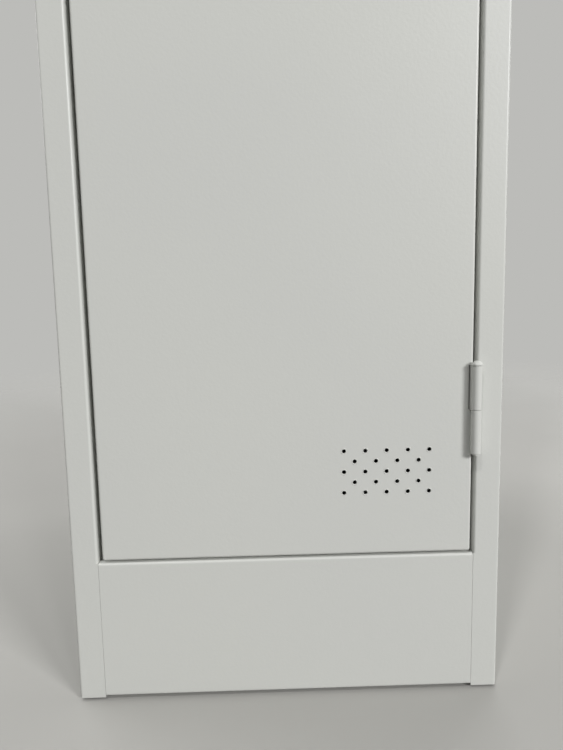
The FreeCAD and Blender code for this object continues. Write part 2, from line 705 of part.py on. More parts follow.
def card_nodes():
    """Card holder: frame with a pocket behind it for a clear window and a blank card."""
    x = (DOOR_LEFT + DOOR_RIGHT) / 2
    pocket = CARD_T + WINDOW_T
    front = -pocket - CARD_FACE
    frame = panel(x, CARD_Z, CARD_W + 2 * CARD_RIM, CARD_H + 2 * CARD_RIM, front, 0, CARD_CORNER)
    frame = frame.makeFillet(CARD_EDGE, edges_at(frame, front))
    seat = panel(x, CARD_Z, CARD_W, CARD_H, -pocket, PAST, WINDOW_CORNER)
    sight_w = CARD_W - 2 * CARD_OVERLAP
    sight_h = CARD_H - 2 * CARD_OVERLAP
    sight = panel(x, CARD_Z, sight_w, sight_h, front - PAST, PAST, WINDOW_CORNER)
    return {
        "card_frame": frame.cut([seat, sight]),
        "card_window": panel(x, CARD_Z, CARD_W, CARD_H, -pocket, -CARD_T, WINDOW_CORNER),
        "name_card": panel(x, CARD_Z, CARD_W, CARD_H, -CARD_T, 0, WINDOW_CORNER),
    }


def mirror_nodes():
    """Mirror in a shallow tray on the crown of the door stiffener."""
    tray_w = MIRROR_W + 2 * MIRROR_RIM
    tray_h = MIRROR_H + 2 * MIRROR_RIM
    glass_front = CROWN_BACK + MIRROR_BACK
    glass_back = glass_front + MIRROR_T
    tray = panel(STIFFENER_X, MIRROR_Z, tray_w, tray_h, CROWN_BACK, glass_back, MIRROR_CORNER)
    glass = panel(STIFFENER_X, MIRROR_Z, MIRROR_W, MIRROR_H, glass_front, glass_back, GLASS_CORNER)
    return {"mirror_tray": tray.cut(glass), "mirror_glass": glass}


def towel_bar():
    """Wire bar across the inside of the door, welded to feet on its side lips."""
    left = DOOR_LEFT + TOWEL_INSET
    right = DOOR_RIGHT - TOWEL_INSET
    seat = DOOR_DEPTH + TOWEL_FOOT_T
    back = DOOR_DEPTH + TOWEL_REACH
    corners = [point(left, seat, TOWEL_Z), point(left, back, TOWEL_Z), point(right, back, TOWEL_Z)]
    bar = wire_form(corners + [point(right, seat, TOWEL_Z)], TOWEL_WIRE / 2, TOWEL_BEND)
    feet = [rod(TOWEL_FOOT_R, point(x, DOOR_DEPTH, TOWEL_Z), Y_AXIS, TOWEL_FOOT_T) for x in (left, right)]
    return bar.fuse(feet).removeSplitter()


def door_nodes():
    nodes = {
        "door_panel": door_panel(),
        "door_stiffener": door_stiffener(),
        "handle_cup": handle_cup(),
        "towel_bar": towel_bar(),
    }
    nodes.update(card_nodes())
    nodes.update(mirror_nodes())
    return nodes


def catch_nodes():
    """Magnet catch beside the stop lip of the latch post, and rubber bumpers on that lip."""
    lip_end = -JAMB + STOP_LIP
    near = lip_end + JOINT_GAP
    magnet_front = DOOR_DEPTH + MAGNET_GAP
    body_front = magnet_front + MAGNET_PROUD
    low = CATCH_Z - CATCH_H / 2
    high = CATCH_Z + CATCH_H / 2
    body_high = (near + CATCH_W, POST_DEPTH + CATCH_DEPTH, high)
    body = rounded_block((near, body_front, low), body_high, CATCH_EDGE)
    tab_high = (near + CATCH_W / 2, POST_DEPTH + CATCH_TAB, high)
    tab = block((lip_end - STOP_LIP / 2, POST_DEPTH, low), tab_high)
    magnet_x = near + CATCH_W / 2
    magnet_back = body_front + MAGNET_SEAT
    magnet_low = (magnet_x - MAGNET_W / 2, magnet_front, CATCH_Z - MAGNET_H / 2)
    magnet = block(magnet_low, (magnet_x + MAGNET_W / 2, magnet_back, CATCH_Z + MAGNET_H / 2))
    dome_r = (BUMPER_R ** 2 + BUMPER ** 2) / (2 * BUMPER)
    bumpers = []
    for z in BUMPER_HEIGHTS:
        tip = point(BUMPER_X - JAMB, STOP_FRONT - BUMPER, z)
        ball = Part.makeSphere(dome_r, tip + Y_AXIS * dome_r)
        bumpers.append(rod(BUMPER_R, tip, Y_AXIS, BUMPER).common(ball))
    return {
        "catch_body": body.fuse(tab).cut(magnet).removeSplitter(),
        "catch_magnet": magnet,
        "door_bumpers": Part.makeCompound(bumpers),
    }


def foot_places():
    """Foot axis for each corner, by name."""
    x = WIDTH / 2 - FOOT_X
    return {
        "front_left": (-x, FOOT_Y),
        "front_right": (x, FOOT_Y),
        "rear_left": (-x, DEPTH - FOOT_Y),
        "rear_right": (x, DEPTH - FOOT_Y),
    }


def foot_nodes():
    """Brackets and nuts in the plinth, and a pad on a stud at each corner."""
    nodes = {}
    brackets = []
    nuts = []
    half = BRACKET / 2
    seat = BRACKET_Z + BRACKET
    hole_r = STUD_R + STUD_CLEARANCE
    for name, (x, y) in foot_places().items():
        side = math.copysign(1, x)
        wall = side * (INSIDE - half)
        profile = [
            (wall, seat + BRACKET_RISE),
            (wall, BRACKET_Z + half),
            (wall - side * BRACKET_W, BRACKET_Z + half),
        ]
        start = front_view(y - BRACKET_LENGTH / 2)
        bracket = bent_sheet(profile, start, point(0, BRACKET_LENGTH, 0), BRACKET, BRACKET_BEND)
        bracket_hole = rod(hole_r + CUT_CLEARANCE, point(x, y, BRACKET_Z - PAST), Z_AXIS, BRACKET + 2 * PAST)
        nut = hexagon(NUT_AF, point(x, y, seat), Z_AXIS, NUT_T)
        pad = turned(
            [
                (0, 0),
                (FOOT_R - FOOT_EDGE, 0),
                (FOOT_R, FOOT_EDGE),
                (FOOT_R, FOOT_PAD - FOOT_STEP),
                (FOOT_STEP_R, FOOT_PAD),
                (STUD_R, FOOT_PAD),
                (STUD_R, FOOT_PAD - STUD_SEAT),
                (0, FOOT_PAD - STUD_SEAT),
            ],
            point(x, y, 0),
            Z_AXIS,
        )
        stud_low = FOOT_PAD - STUD_SEAT
        stud_top = stud_low + STUD_LENGTH
        stud = rod(STUD_R, point(x, y, stud_low), Z_AXIS, STUD_LENGTH)
        slot_low = (x - FOOT_R, y - STUD_SLOT / 2, stud_top - STUD_SLOT)
        stud = stud.cut(block(slot_low, (x + FOOT_R, y + STUD_SLOT / 2, stud_top + PAST)))
        brackets.append(bracket.cut(bracket_hole))
        nuts.append(nut.cut(rod(hole_r, point(x, y, seat), Z_AXIS, NUT_T)))
        nodes[name + "_foot_pad"] = pad
        nodes[name + "_foot_stud"] = stud
    nodes["foot_brackets"] = Part.makeCompound(brackets)
    nodes["foot_nuts"] = Part.makeCompound(nuts)
    return nodes


def shelf_nodes():
    """Hat shelf on four angle clips on the side walls."""
    half_width = INSIDE - SHELF_SIDE_GAP
    front = POST_DEPTH + SHELF_SET_BACK
    back = BACK_FRONT - SHELF_SIDE_GAP
    shelf = folded_tray(half_width, front, back, SHELF_Z, -TRAY_FLANGE, -TRAY_FLANGE, 0)
    half = CLIP_T / 2
    ledge = SHELF_Z - SHEET - half
    clips = []
    for side in (-1, 1):
        wall = side * (INSIDE - half)
        profile = [(wall, ledge + half - CLIP_DROP), (wall, ledge), (wall - side * CLIP_LEDGE, ledge)]
        for y in (front + CLIP_INSET, back - CLIP_INSET - CLIP_LENGTH):
            clips.append(bent_sheet(profile, front_view(y), point(0, CLIP_LENGTH, 0), CLIP_T, CLIP_T))
    return {"hat_shelf": shelf, "shelf_clips": Part.makeCompound(clips)}


def rail_nodes():
    """Hanger tube across the cabinet between two flanged sockets."""
    y = DEPTH / 2
    reach = INSIDE - SOCKET_BASE
    tube_start = point(-reach, y, RAIL_Z)
    tube = rod(RAIL_R, tube_start, X_AXIS, 2 * reach)
    tube = tube.cut(rod(RAIL_R - RAIL_WALL, tube_start, X_AXIS, 2 * reach))
    bore_r = RAIL_R + RAIL_CLEARANCE
    collar_r = bore_r + SOCKET_WALL
    height = SOCKET_BASE + SOCKET_COLLAR
    socket = turned(
        [
            (0, 0),
            (SOCKET_R, 0),
            (SOCKET_R, SOCKET_BASE - SOCKET_EDGE),
            (SOCKET_R - SOCKET_EDGE, SOCKET_BASE),
            (collar_r, SOCKET_BASE),
            (collar_r, height - SOCKET_EDGE),
            (collar_r - SOCKET_EDGE, height),
            (bore_r, height),
            (bore_r, SOCKET_BASE),
            (0, SOCKET_BASE),
        ],
        point(-INSIDE, y, RAIL_Z),
        X_AXIS,
    )
    return {"hanger_rail": tube, "rail_sockets": Part.makeCompound([socket, mirrored(socket)])}


def coat_hook(x):
    """Wire hook with a ball tip on a plate against the back panel."""
    plate_front = BACK_FRONT - HOOK_PLATE_T
    plate = panel(x, HOOK_Z, HOOK_PLATE_W, HOOK_PLATE_H, plate_front, BACK_FRONT, HOOK_CORNER)
    low = HOOK_Z - HOOK_DROP
    tip = point(x, plate_front - HOOK_REACH, low + HOOK_RISE)
    corners = [point(x, plate_front, low), point(x, plate_front - HOOK_REACH, low), tip]
    hook = wire_form(corners, HOOK_WIRE / 2, HOOK_BEND)
    return plate.fuse([hook, Part.makeSphere(HOOK_TIP_R, tip)]).removeSplitter()


def umbrella_holder():
    """Wire loop on a plate against the left wall, where umbrellas stand upright."""
    front = POST_DEPTH + LOOP_FRONT
    back = front + LOOP_LENGTH
    seat = -INSIDE + LOOP_PLATE_T
    out = -INSIDE + LOOP_REACH
    turns = ((seat, front), (out, front), (out, back), (seat, back))
    corners = [point(x, y, LOOP_Z) for x, y in turns]
    loop = wire_form(corners, LOOP_WIRE / 2, LOOP_BEND)
    plate_low = (-INSIDE, front - LOOP_PLATE_END, LOOP_Z - LOOP_PLATE_H / 2)
    plate = block(plate_low, (seat, back + LOOP_PLATE_END, LOOP_Z + LOOP_PLATE_H / 2))
    plate = plate.makeFillet(LOOP_CORNER, edges_along(plate, X_AXIS))
    return plate.fuse(loop).removeSplitter()


def tray_outline(inset, z):
    """Rounded rectangle of the drip tray at a height, drawn in from its rim."""
    left = -INSIDE + TRAY_SIDE_GAP + inset
    right = -INSIDE + TRAY_SIDE_GAP + TRAY_W - inset
    front = POST_DEPTH + SHEET + TRAY_SIDE_GAP + inset
    back = POST_DEPTH + SHEET + TRAY_SIDE_GAP + TRAY_L - inset
    corner = TRAY_CORNER - min(inset, TRAY_CORNER / 2)
    base = block((left, front, z), (right, back, z + PAST))
    rounded = base.makeFillet(corner, edges_along(base, Z_AXIS))
    face = min(rounded.Faces, key=lambda f: f.CenterOfMass.z)
    return face.OuterWire


def drip_tray():
    """Moulded tray with leaning walls and an outward rim."""
    top = KICK_TOP + TRAY_H
    foot = TRAY_RIM + TRAY_DRAFT
    inside_foot = foot + TRAY_WALL
    outer = Part.makeLoft([tray_outline(foot, KICK_TOP), tray_outline(TRAY_RIM, top)], True, True)
    inner = Part.makeLoft(
        [tray_outline(inside_foot, KICK_TOP + TRAY_WALL), tray_outline(TRAY_RIM + TRAY_WALL, top)], True, True
    )
    mouth = Part.Face(tray_outline(TRAY_RIM + TRAY_WALL, top - TRAY_RIM_T)).extrude(point(0, 0, TRAY_RIM_T))
    rim = Part.Face(tray_outline(0, top - TRAY_RIM_T)).extrude(point(0, 0, TRAY_RIM_T))
    return outer.fuse(rim.cut(mouth)).cut(inner).removeSplitter()


def inner_nodes():
    nodes = shelf_nodes()
    nodes.update(rail_nodes())
    nodes.update(catch_nodes())
    nodes["coat_hooks"] = Part.makeCompound([coat_hook(-HOOK_X), coat_hook(HOOK_X)])
    nodes["umbrella_holder"] = umbrella_holder()
    nodes["drip_tray"] = drip_tray()
    return nodes


def build():
    """Every piece by name, centred on the origin."""
    nodes = {}
    for group in (cabinet_nodes, hinge_nodes, door_nodes, lock_nodes, foot_nodes, inner_nodes):
        nodes.update(group())
    for shape in nodes.values():
        shape.translate(point(0, CENTRE_SHIFT, 0))
    return nodes


os.makedirs("parts", exist_ok=True)
for node, shape in build().items():
    shape.exportStep("parts/" + node + ".step")
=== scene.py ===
import json
import math

import bpy
from mathutils import Matrix, Vector


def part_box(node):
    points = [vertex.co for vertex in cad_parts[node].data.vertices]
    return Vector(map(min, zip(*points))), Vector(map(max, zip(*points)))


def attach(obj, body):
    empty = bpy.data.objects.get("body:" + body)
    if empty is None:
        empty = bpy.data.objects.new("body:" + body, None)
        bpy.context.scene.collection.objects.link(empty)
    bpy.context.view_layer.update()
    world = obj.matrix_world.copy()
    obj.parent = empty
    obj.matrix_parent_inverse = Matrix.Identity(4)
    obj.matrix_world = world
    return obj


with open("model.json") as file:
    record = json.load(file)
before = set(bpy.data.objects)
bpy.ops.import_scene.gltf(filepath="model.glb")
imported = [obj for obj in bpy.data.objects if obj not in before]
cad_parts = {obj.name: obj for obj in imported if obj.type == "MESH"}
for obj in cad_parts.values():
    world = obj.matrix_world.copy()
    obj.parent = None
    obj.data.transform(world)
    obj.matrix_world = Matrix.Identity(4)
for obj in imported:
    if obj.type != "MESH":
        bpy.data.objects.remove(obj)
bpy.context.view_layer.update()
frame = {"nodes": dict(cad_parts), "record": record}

MM = 0.001
NODES = frame["nodes"]

# Directions in the row's frame
RIGHT = Vector((1, 0, 0))
LEFT = Vector((-1, 0, 0))
REAR = Vector((0, 1, 0))
FRONT = Vector((0, -1, 0))
UP = Vector((0, 0, 1))

# Rims of the vent holes in the door panel, in millimetres
VENT_RADIUS = 1.5
VENT_PITCH = 15.6
VENT_ROWS = 5
VENT_COLUMNS = 5
VENT_SIDE = 31.3            # outer column from the hinge edge of the door
VENT_END = 47.0             # outer row from the end of the door
VENT_SEGMENTS = 28
VENT_LIP = (                # section of a rim: (outside the edge of the hole, behind the face of the door)
    (0.75, 0.03), (0.62, -0.1), (0.5, -0.17), (0.36, -0.18), (0.2, -0.13), (0.08, -0.03), (-0.02, 0.12),
    (-0.06, 0.3), (-0.06, 0.7), (0.1, 0.75), (0.2, 0.4),
)

# Heads of the cross-head screws, as shares of their radius
HEAD_HEIGHT = 0.55
HEAD_ROUNDING = 4           # power by which the head falls away towards its rim
CROSS_ARM = 0.62            # middle of the cross to the end of an arm
CROSS_HALF_WIDTH = 0.16
CROSS_FLOOR = 0.16          # floor of the cross above the seat
HEAD_SUNK = 0.05            # rim of the head below the seat, in millimetres
HEAD_STEPS = 12
HEAD_SEGMENTS = 56

# Screws of the inner fittings: lengths in millimetres, turns of the crosses in radians
HOOK_SCREW_RADIUS = 2.6
HOOK_SCREW_TURNS = (0.5, 1.4, 2.3, 3.2)
HOOK_SCREW_SIDE = 70.0      # each way from the middle of the locker
HOOK_SCREW_RISES = (36.0, 6.0)          # above the foot of the plates
HOOK_PLATE = 1.6            # thickness
SOCKET_SCREW_RADIUS = 2.4
SOCKET_SCREW_TURNS = (1.3, 2.4, -0.7, 0.4)
SOCKET_SCREW_REACH = 15.4   # above and below the middle of the socket
SOCKET_BASE = 2.5           # thickness
HOLDER_SCREW_RADIUS = 3.2
HOLDER_SCREW_TURNS = (0.4, 1.7)
HOLDER_SCREW_INSETS = (34.0, 114.0)     # behind the front of the plate
HOLDER_PLATE = 1.6          # thickness
CATCH_SCREW_RADIUS = 2.1
CATCH_SCREW_TURNS = (0.2, 0.9)
CATCH_SCREW_RISES = (9.0, 37.0)         # above the foot of the catch
CATCH_SCREW_SIDE = 2.8      # from the outer edge of the catch's tab
CATCH_TAB_BACK = 3.9        # back of the tab behind the front of the catch

# Spot welds, in millimetres
WELD_MARK = (               # section of a mark: (radius, into the sheet)
    (2.6, 0.02), (2.3, -0.07), (1.9, -0.09), (1.4, -0.04), (0.7, -0.02), (0.01, -0.02),
)
WELD_SEGMENTS = 20
SHEET = 0.8                 # thickness of the stiffener
STIFFENER_WELDS = 15        # marks in each row
STIFFENER_WELD_END = 40.0   # outer mark from the end of the stiffener
STIFFENER_WELD_SIDE = 6.0   # row from the side of the stiffener
REAR_WELDS = 16             # marks in each row
REAR_WELD_END = 30.0        # outer mark from the end of the panel
REAR_WELD_SIDE = 8.5        # row from the side of the locker

# Clear window of the card holder, drawn in by this much, in millimetres
WINDOW_INSET = 0.06

# Floor and surround: lengths in metres, colours as sRGB values from 0 to 255
FLOOR_SIZE = 16.0
FLOOR_LIT = (104, 103, 100)     # for the rays that only carry light
FLOOR_SEEN = (178, 177, 173)    # for the camera and in reflections
FLOOR_PATCHES = (168, 167, 163)
FLOOR_WHOLE = 0.7           # solid up to this far from the middle of the locker
FLOOR_GONE = 2.6            # faded away from here on
FILL_COLOUR = (255, 255, 253)
FILL_STRENGTH = 0.12
SURROUND_COLOUR = (188, 188, 185)
SURROUND_STRENGTH = 1.0

# Points that the lamps aim at, in metres
LOW_FRONT = (0.0, -0.25, 0.4)
LOW_FRONT_RIGHT = (0.15, -0.25, 0.5)
MIDDLE = (0.0, 0.0, 0.8)

# Camera of the photograph
CAMERA_PLACE = (-8.5, -653.25, 292.0)   # in millimetres
CAMERA_YAW = 1.07           # to the right, in degrees
CAMERA_PITCH = 6.69         # down, in degrees
CAMERA_ROLL = -1.20         # right side raised, in degrees
CAMERA_SENSOR = 36.0        # in millimetres, along the longer side of the picture
CAMERA_NEAREST = 0.01       # in metres
PHOTO_FOCAL_LENGTH = 564    # in pixels
PHOTO_HEIGHT = 750          # in pixels


def linear(rgb):
    """Linear colour from sRGB values from 0 to 255, by the sRGB curve."""
    out = []
    for value in rgb:
        share = value / 255
        out.append(share / 12.92 if share <= 0.04045 else ((share + 0.055) / 1.055) ** 2.4)
    return out + [1.0]


class Surface:
    """A material on one Principled shader, with helpers that add procedural detail in the row's frame."""

    def __init__(self, name, colour, roughness, metallic=0.0):
        self.material = bpy.data.materials.new(name)
        self.material.use_nodes = True
        self.tree = self.material.node_tree
        self.shader = self.tree.nodes["Principled BSDF"]
        self.colour = linear(colour)
        self.set("Base Color", self.colour)
        self.set("Roughness", roughness)
        self.set("Metallic", metallic)
        self.place = self.tree.nodes.new("ShaderNodeTexCoord").outputs["Object"]

    def set(self, socket, value):
        """Sets one input of the shader."""
        self.shader.inputs[socket].default_value = value

    def link(self, output, target):
        """Joins an output of one node to an input of another."""
        self.tree.links.new(output, target)

    def stretched(self, scale):
        """Object coordinates multiplied along each axis."""
        node = self.tree.nodes.new("ShaderNodeMapping")
        node.inputs["Scale"].default_value = scale
        self.link(self.place, node.inputs["Vector"])
        return node.outputs["Vector"]

    def noise(self, scale, detail, place=None, rough=0.5):
        """Noise texture with about as many spots to the metre as its scale."""
        node = self.tree.nodes.new("ShaderNodeTexNoise")
        node.inputs["Scale"].default_value = scale
        node.inputs["Detail"].default_value = detail
        node.inputs["Roughness"].default_value = rough
        self.link(place or self.place, node.inputs["Vector"])
        return node.outputs["Fac"]

    def from_origin(self):
        """Distance from the row's origin, in metres."""
        node = self.tree.nodes.new("ShaderNodeVectorMath")
        node.operation = "LENGTH"
        self.link(self.place, node.inputs[0])
        return node.outputs["Value"]

    def ranged(self, value, low, high, to_low, to_high):
        """A value mapped from one range to another, clamped."""
        node = self.tree.nodes.new("ShaderNodeMapRange")
        for name, number in (("From Min", low), ("From Max", high), ("To Min", to_low), ("To Max", to_high)):
            node.inputs[name].default_value = number
        self.link(value, node.inputs["Value"])
        return node.outputs["Result"]

    def tint(self, value, colour):
        """Mixes a second colour into what the shader's colour is so far."""
        node = self.tree.nodes.new("ShaderNodeMix")
        node.data_type = "RGBA"
        base = self.shader.inputs["Base Color"]
        if base.links:
            self.link(base.links[0].from_socket, node.inputs["A"])
        else:
            node.inputs["A"].default_value = self.colour
        node.inputs["B"].default_value = linear(colour)
        self.link(value, node.inputs["Factor"])
        self.link(node.outputs["Result"], base)

    def mottle(self, value, colour, low=0.35, high=0.7, most=1.0):
        """Mixes a second colour in by patches: none where a texture is low, the most where it is high."""
        self.tint(self.ranged(value, low, high, 0.0, most), colour)

    def gloss(self, value, low, high, value_low=0.3, value_high=0.7):
        """Varies the roughness from low to high with a texture."""
        self.link(self.ranged(value, value_low, value_high, low, high), self.shader.inputs["Roughness"])

    def relief(self, value, height):
        """Adds a bump of a height in metres on top of those already there."""
        node = self.tree.nodes.new("ShaderNodeBump")
        node.inputs["Distance"].default_value = height
        self.link(value, node.inputs["Height"])
        normal = self.shader.inputs["Normal"]
        if normal.links:
            self.link(normal.links[0].from_socket, node.inputs["Normal"])
        self.link(node.outputs["Normal"], normal)


def powder_coat():
    """White semi-gloss powder coat: orange peel, slow waves of the sheet, a slight drift of tone."""
    paint = Surface("powder_coat", colour=(214, 215, 210), roughness=0.36)
    paint.set("Specular IOR Level", 0.4)
    paint.mottle(paint.noise(scale=5.0, detail=1.0), colour=(212, 213, 209))
    paint.gloss(paint.noise(scale=30.0, detail=1.0), low=0.345, high=0.375)
    paint.relief(paint.noise(scale=8.0, detail=1.0), height=0.2 * MM)
    paint.relief(paint.noise(scale=430.0, detail=1.5), height=0.06 * MM)
    return paint.material


def zinc():
    """Zinc plate: cool grey with a fine mottle."""
    metal = Surface("zinc_plate", colour=(196, 199, 203), roughness=0.34, metallic=1.0)
    metal.mottle(metal.noise(scale=160.0, detail=4.0), colour=(168, 172, 178))
    metal.gloss(metal.noise(scale=320.0, detail=3.0), low=0.29, high=0.46)
    metal.relief(metal.noise(scale=1400.0, detail=2.0), height=0.01 * MM)
    return metal.material


def chrome():
    """Bright plating with faint smudges, not quite even."""
    metal = Surface("chrome", colour=(222, 223, 225), roughness=0.1, metallic=1.0)
    metal.mottle(metal.noise(scale=60.0, detail=3.0), colour=(208, 209, 211), low=0.4)
    metal.gloss(metal.noise(scale=90.0, detail=4.0), low=0.06, high=0.17)
    metal.relief(metal.noise(scale=900.0, detail=2.0), height=0.003 * MM)
    return metal.material


def moulded(name, colour, shade, roughness):
    """Moulded plastic with a fine spark-eroded texture."""
    plastic = Surface(name, colour, roughness)
    plastic.mottle(plastic.noise(scale=70.0, detail=3.0), shade)
    plastic.gloss(plastic.noise(scale=260.0, detail=3.0), low=roughness - 0.06, high=roughness + 0.07)
    plastic.relief(plastic.noise(scale=1700.0, detail=2.0), height=0.03 * MM)
    return plastic.material


def rubber():
    """Black rubber with a dull bloom in patches."""
    rub = Surface("rubber", colour=(44, 44, 45), roughness=0.72)
    rub.mottle(rub.noise(scale=220.0, detail=4.0), colour=(66, 65, 63), low=0.4, high=0.75)
    rub.gloss(rub.noise(scale=400.0, detail=3.0), low=0.62, high=0.82)
    rub.relief(rub.noise(scale=1500.0, detail=3.0), height=0.05 * MM)
    return rub.material


def ferrite():
    """Pressed magnet: dark grey with pale grains."""
    dark = Surface("ferrite", colour=(52, 52, 55), roughness=0.55)
    dark.mottle(dark.noise(scale=1100.0, detail=3.0), colour=(86, 86, 90), low=0.55, high=0.75)
    dark.relief(dark.noise(scale=1300.0, detail=3.0), height=0.04 * MM)
    return dark.material


def acrylic():
    """Clear window with a trace of fine scratches in its gloss."""
    clear = Surface("clear_window", colour=(246, 248, 248), roughness=0.06)
    clear.set("Alpha", 0.16)
    clear.set("IOR", 1.49)
    along_scratches = clear.stretched((1.0, 1.0, 9.0))
    clear.gloss(clear.noise(scale=240.0, detail=4.0, place=along_scratches), low=0.03, high=0.12)
    return clear.material


def card():
    """Blank paper card with a fibrous tone."""
    paper = Surface("card", colour=(236, 233, 224), roughness=0.85)
    paper.mottle(paper.noise(scale=700.0, detail=5.0, rough=0.7), colour=(224, 220, 209), low=0.4)
    paper.relief(paper.noise(scale=1500.0, detail=4.0), height=0.04 * MM)
    return paper.material


def silvered():
    """Mirror glass with faint dust."""
    glass = Surface("mirror", colour=(226, 230, 230), roughness=0.03, metallic=1.0)
    glass.gloss(glass.noise(scale=40.0, detail=1.0), low=0.015, high=0.03)
    glass.mottle(glass.noise(scale=1200.0, detail=2.0), colour=(205, 208, 207), low=0.72, high=0.78)
    return glass.material


FINISHES = {
    "powder_coat": powder_coat(),
    "zinc_steel": zinc(),
    "chrome": chrome(),
    "grey_plastic": moulded("grey_plastic", colour=(158, 161, 162), shade=(149, 152, 154), roughness=0.48),
    "white_plastic": moulded("white_plastic", colour=(222, 222, 217), shade=(213, 213, 207), roughness=0.42),
    "magnet": ferrite(),
    "rubber": rubber(),
    "clear_plastic": acrylic(),
    "paper": card(),
    "mirror": silvered(),
}


def finish_nodes():
    """Gives each CAD node the finish of its slot in the record."""
    for subpart in frame["record"]["subparts"]:
        mesh = NODES[subpart["node"]].data
        mesh.materials.clear()
        mesh.materials.append(FINISHES[subpart["material_slot"]])


def free_window():
    """Draws the clear window in by a hair, so that it doesn't share a face with the card behind it."""
    inset = NODES["card_window"].modifiers.new("inset", "DISPLACE")
    inset.mid_level = 0.0
    inset.strength = -WINDOW_INSET * MM


class Form:
    """Points and faces of one piece, gathered shape by shape in millimetres in the row's frame."""

    def __init__(self):
        self.points = []
        self.faces = []

    def rings(self, rows, closed=False):
        """Joins rings of equally many points by quads, and the last ring to the first if closed."""
        first = len(self.points)
        count = len(rows[0])
        for row in rows:
            self.points += row
        pairs = [(i, i + 1) for i in range(len(rows) - 1)]
        if closed:
            pairs.append((len(rows) - 1, 0))
        for a, b in pairs:
            for k in range(count):
                n = (k + 1) % count
                quad = (a * count + k, a * count + n, b * count + n, b * count + k)
                self.faces.append([first + i for i in quad])

    def lathe(self, profile, centre, axis, segments, closed=False):
        """Turns (radius, distance along the axis) points about an axis."""
        side, other = across(axis)
        rows = []
        for radius, along in profile:
            row = []
            for k in range(segments):
                angle = 2 * math.pi * k / segments
                spoke = side * math.cos(angle) + other * math.sin(angle)
                row.append(centre + spoke * radius + axis * along)
            rows.append(row)
        self.rings(rows, closed)

    def piece(self, name, body, slot):
        """Makes the piece, with the finish of a slot, and lets it move with a body."""
        mesh = bpy.data.meshes.new(name)
        mesh.from_pydata([p * MM for p in self.points], [], self.faces)
        mesh.shade_smooth()
        mesh.materials.append(FINISHES[slot])
        obj = bpy.data.objects.new(name, mesh)
        bpy.context.scene.collection.objects.link(obj)
        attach(obj, body)


def across(axis):
    """Two directions at right angles to an axis and to each other, in turning order."""
    nearly_level = abs(axis.z) < 0.5
    off_axis = UP if nearly_level else RIGHT
    side = off_axis.cross(axis).normalized()
    return side, axis.cross(side)


def corners(node):
    """Lowest and highest corner of a CAD node in millimetres."""
    low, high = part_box(node)
    return low / MM, high / MM


def vent_rims():
    """Rolled edge with built-up paint round each punched vent hole of the door."""
    low, high = corners("door_panel")
    profile = [(VENT_RADIUS + wider, depth) for wider, depth in VENT_LIP]
    form = Form()
    for row in range(VENT_ROWS):
        odd = row % 2
        for column in range(VENT_COLUMNS - odd):
            x = high.x - VENT_SIDE - (column + odd / 2) * VENT_PITCH
            rise = VENT_END + row * VENT_PITCH / 2
            for z in (low.z + rise, high.z - rise):
                form.lathe(profile, Vector((x, low.y, z)), REAR, VENT_SEGMENTS, closed=True)
    form.piece("vent_rims", "door", "powder_coat")


def screw_head(form, seat, facing, radius, turn):
    """Pan head with a cross recess, standing on a seat."""
    side, other = across(facing)
    arm = CROSS_ARM * radius
    half = CROSS_HALF_WIDTH * radius
    rows = []
    for i in range(HEAD_STEPS + 1):
        share = 1 - i / HEAD_STEPS
        row = []
        for k in range(HEAD_SEGMENTS):
            angle = 2 * math.pi * k / HEAD_SEGMENTS
            u = radius * share * math.cos(angle)
            v = radius * share * math.sin(angle)
            height = HEAD_HEIGHT * radius * (1 - share ** HEAD_ROUNDING) if i else -HEAD_SUNK
            if min(abs(u), abs(v)) < half and max(abs(u), abs(v)) < arm:
                height = CROSS_FLOOR * radius
            turned_u = u * math.cos(turn) - v * math.sin(turn)
            turned_v = u * math.sin(turn) + v * math.cos(turn)
            row.append(seat + side * turned_u + other * turned_v + facing * height)
        rows.append(row)
    form.rings(rows)


def screws(name, slot, radius, turns, seats):
    """Piece of several screws: each has its seat, the way that it faces and a turn of its cross."""
    form = Form()
    for (seat, facing), turn in zip(seats, turns):
        screw_head(form, seat, facing, radius, turn)
    form.piece(name, "cabinet", slot)


def hook_screws():
    """Two screws in the plate of each coat hook."""
    low, high = corners("coat_hooks")
    seats = []
    for x in (-HOOK_SCREW_SIDE, HOOK_SCREW_SIDE):
        for rise in HOOK_SCREW_RISES:
            seats.append((Vector((x, high.y - HOOK_PLATE, low.z + rise)), FRONT))
    screws("hook_screws", "chrome", HOOK_SCREW_RADIUS, HOOK_SCREW_TURNS, seats)


def socket_screws():
    """Two screws in the base of each rail socket."""
    low, high = corners("rail_sockets")
    middle = (low + high) / 2
    seats = []
    for x, facing in ((low.x + SOCKET_BASE, RIGHT), (high.x - SOCKET_BASE, LEFT)):
        for reach in (-SOCKET_SCREW_REACH, SOCKET_SCREW_REACH):
            seats.append((Vector((x, middle.y, middle.z + reach)), facing))
    screws("socket_screws", "zinc_steel", SOCKET_SCREW_RADIUS, SOCKET_SCREW_TURNS, seats)


def umbrella_holder_screws():
    """Two screws in the plate of the umbrella holder."""
    low, high = corners("umbrella_holder")
    seats = []
    for inset in HOLDER_SCREW_INSETS:
        seats.append((Vector((low.x + HOLDER_PLATE, low.y + inset, (low.z + high.z) / 2)), RIGHT))
    screws("umbrella_holder_screws", "zinc_steel", HOLDER_SCREW_RADIUS, HOLDER_SCREW_TURNS, seats)


def catch_screws():
    """Two screws in the tab of the magnet catch."""
    low = corners("catch_body")[0]
    seats = []
    for rise in CATCH_SCREW_RISES:
        seats.append((Vector((low.x + CATCH_SCREW_SIDE, low.y + CATCH_TAB_BACK, low.z + rise)), REAR))
    screws("catch_screws", "zinc_steel", CATCH_SCREW_RADIUS, CATCH_SCREW_TURNS, seats)


